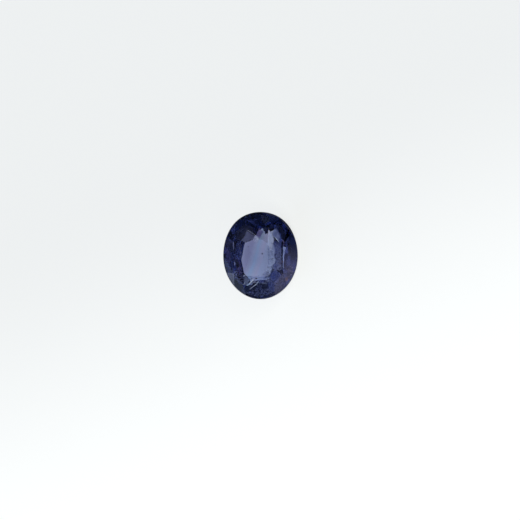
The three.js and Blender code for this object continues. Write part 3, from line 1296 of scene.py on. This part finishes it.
@dataclass(frozen=True)
class Floor:
    """The pale floor, softly lit from within, on a smooth slope from grey to white.

    Where it is seen mirrored, it is dark, with a violet glint beside the stone. The places of the glint and
    the slope are in millimetres, the size and the gap under the stone in metres.
    """

    size: float = 6.0
    gap: float = 0.00003
    base: float = 0.8
    glow: float = 0.8
    tint: Colour = (0.985, 1.0, 0.965)
    roughness: float = 0.9
    specular: float = 0.2
    glint: Colour = (0.5, 0.51, 0.9)
    glint_middle: Flat = (-9.0, -5.0)
    glint_reach: Range = (7.5, 11.0)
    slope_reach: Range = (-12.0, 22.0)
    slope_turn: float = math.radians(-165)
    slope_levels: Range = (0.92, 1.13)

    def lit_tone(self, tree: bpy.types.NodeTree, place: bpy.types.NodeSocket) -> bpy.types.NodeSocket:
        """Adds the floor's own glow, which grows along the slope.

        Args:
            tree: The material's tree.
            place: The coordinates on the floor.

        Returns:
            The glow's colour.
        """
        along = add_node(tree, "ShaderNodeVectorMath", operation="DOT_PRODUCT")
        feed(along.inputs[0], place)
        feed(along.inputs[1], (math.cos(self.slope_turn), math.sin(self.slope_turn), 0.0))
        level = grade(tree, along.outputs["Value"], metres(self.slope_reach), self.slope_levels)
        pale = add_node(tree, "ShaderNodeVectorMath", operation="SCALE")
        feed(pale.inputs[0], tuple(self.glow * tone for tone in self.tint))
        set_inputs(pale, Scale=level)
        return pale.outputs["Vector"]

    def glint_tone(self, tree: bpy.types.NodeTree, place: bpy.types.NodeSocket) -> bpy.types.NodeSocket:
        """Adds the glint that the stone mirrors.

        Args:
            tree: The material's tree.
            place: The coordinates on the floor.

        Returns:
            The glint's colour.
        """
        away = add_node(tree, "ShaderNodeVectorMath", operation="DISTANCE")
        feed(away.inputs[0], place)
        feed(away.inputs[1], (*metres(self.glint_middle), -self.gap))
        near = grade(tree, away.outputs["Value"], metres(self.glint_reach), (1.0, 0.0))
        return mix_tones(tree, near, BLACK, self.glint)

    def material(self) -> bpy.types.Material:
        """Makes the floor's material.

        Returns:
            The material.
        """
        material, tree, shader = start_material("pale floor")
        mirrored = add_node(tree, "ShaderNodeLightPath").outputs["Is Reflection Ray"]
        place = add_node(tree, "ShaderNodeTexCoord").outputs["Object"]
        base = tuple(self.base * tone for tone in self.tint)
        glow = mix_tones(tree, mirrored, self.lit_tone(tree, place), self.glint_tone(tree, place))
        set_inputs(
            shader, Base_Color=mix_tones(tree, mirrored, base, BLACK), Roughness=self.roughness,
            Specular_IOR_Level=self.specular, Emission_Color=glow, Emission_Strength=1.0)
        return material

    def build(self) -> None:
        """Lays the floor just under the stone."""
        half, low = self.size / 2, -self.gap
        corners = [(-half, -half, low), (half, -half, low), (half, half, low), (-half, half, low)]
        mesh = bpy.data.meshes.new("floor")
        mesh.from_pydata(corners, [], [(0, 1, 2, 3)])
        mesh.materials.append(self.material())
        put_in_scene("floor", mesh)


@dataclass(frozen=True)
class Studio:
    """The floor, the surroundings and the camera.

    The camera's distance and reach are in metres, and its sensor, view and aim in millimetres.
    """

    cut: CutFrame
    floor: Floor = Floor()
    patches: tuple[Patch, ...] = SURROUNDINGS
    dim_level: Colour = (0.022, 0.032, 0.065)
    seen_level: Colour = (0.9, 0.92, 0.91)
    camera_distance: float = 1.5
    camera_reach: Range = (0.01, 20.0)
    sensor_width: float = 36.0
    view_width: float = 49.2
    aim: Flat = (-0.047, -0.42)

    def patch_mask(self, tree: bpy.types.NodeTree, place: bpy.types.NodeSocket,
                   patch: Patch) -> bpy.types.NodeSocket:
        """Adds the mask of one patch.

        Args:
            tree: The world's tree.
            place: The direction that is looked in.
            patch: The patch.

        Returns:
            The mask.
        """
        facing = add_node(tree, "ShaderNodeVectorMath", operation="DOT_PRODUCT")
        feed(facing.inputs[0], place)
        feed(facing.inputs[1], self.cut.direction(*leaned(patch.lean, patch.turn)))
        rim = math.cos(math.radians(patch.half_angle + patch.soft))
        full = math.cos(math.radians(patch.half_angle - patch.soft))
        return grade(tree, facing.outputs["Value"], (rim, full))

    def light(self) -> None:
        """Sets the surroundings: dim, with the patches in order, and pale where the camera sees them."""
        world = bpy.data.worlds.new("studio")
        bpy.context.scene.world = world
        world.use_nodes = True
        tree = world.node_tree
        place = add_node(tree, "ShaderNodeTexCoord").outputs["Generated"]
        total: object = self.dim_level
        for patch in self.patches:
            total = mix_tones(tree, self.patch_mask(tree, place, patch), total, patch.level)
        path = add_node(tree, "ShaderNodeLightPath")
        seen = mix_tones(tree, path.outputs["Is Camera Ray"], total, self.seen_level)
        set_inputs(tree.nodes["Background"], Color=seen)

    def stand_camera(self) -> None:
        """Stands the camera square to the table."""
        scene = bpy.context.scene
        data = bpy.data.cameras.new("camera")
        data.sensor_width = self.sensor_width
        data.lens = self.sensor_width * self.camera_distance / (self.view_width * MM)
        data.clip_start, data.clip_end = self.camera_reach
        camera = bpy.data.objects.new("camera", data)
        scene.collection.objects.link(camera)
        stand = self.cut.point(*self.aim, 0.0) + self.cut.out * self.camera_distance
        camera.matrix_world = Matrix.Translation(stand) @ self.cut.matrix().to_4x4()
        scene.camera = camera
        scene.view_settings.view_transform = "Standard"

    def build(self) -> None:
        """Builds the floor, the surroundings and the camera."""
        self.floor.build()
        self.light()
        self.stand_camera()


def main() -> None:
    """Builds the stone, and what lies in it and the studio."""
    logging.basicConfig(level=logging.INFO, format="%(name)s: %(message)s")
    mounts = {mount["name"]: mount for mount in frame["record"]["mounts"]}
    table_normal = Vector(mounts[TABLE_MOUNT]["axis"])
    cut = CutFrame.of_mesh(frame["nodes"][NODE].data, table_normal, TABLE_HEIGHT)
    workshop = Workshop(cut)
    for part in (CutStone(CrystalFinish()), *INCLUSIONS_AND_PAINTED_SHADE):
        piece = part.build(workshop)
        log.info("%s: %d faces", piece.name, len(piece.data.polygons))
    Studio(cut).build()


if __name__ == "__main__":
    main()
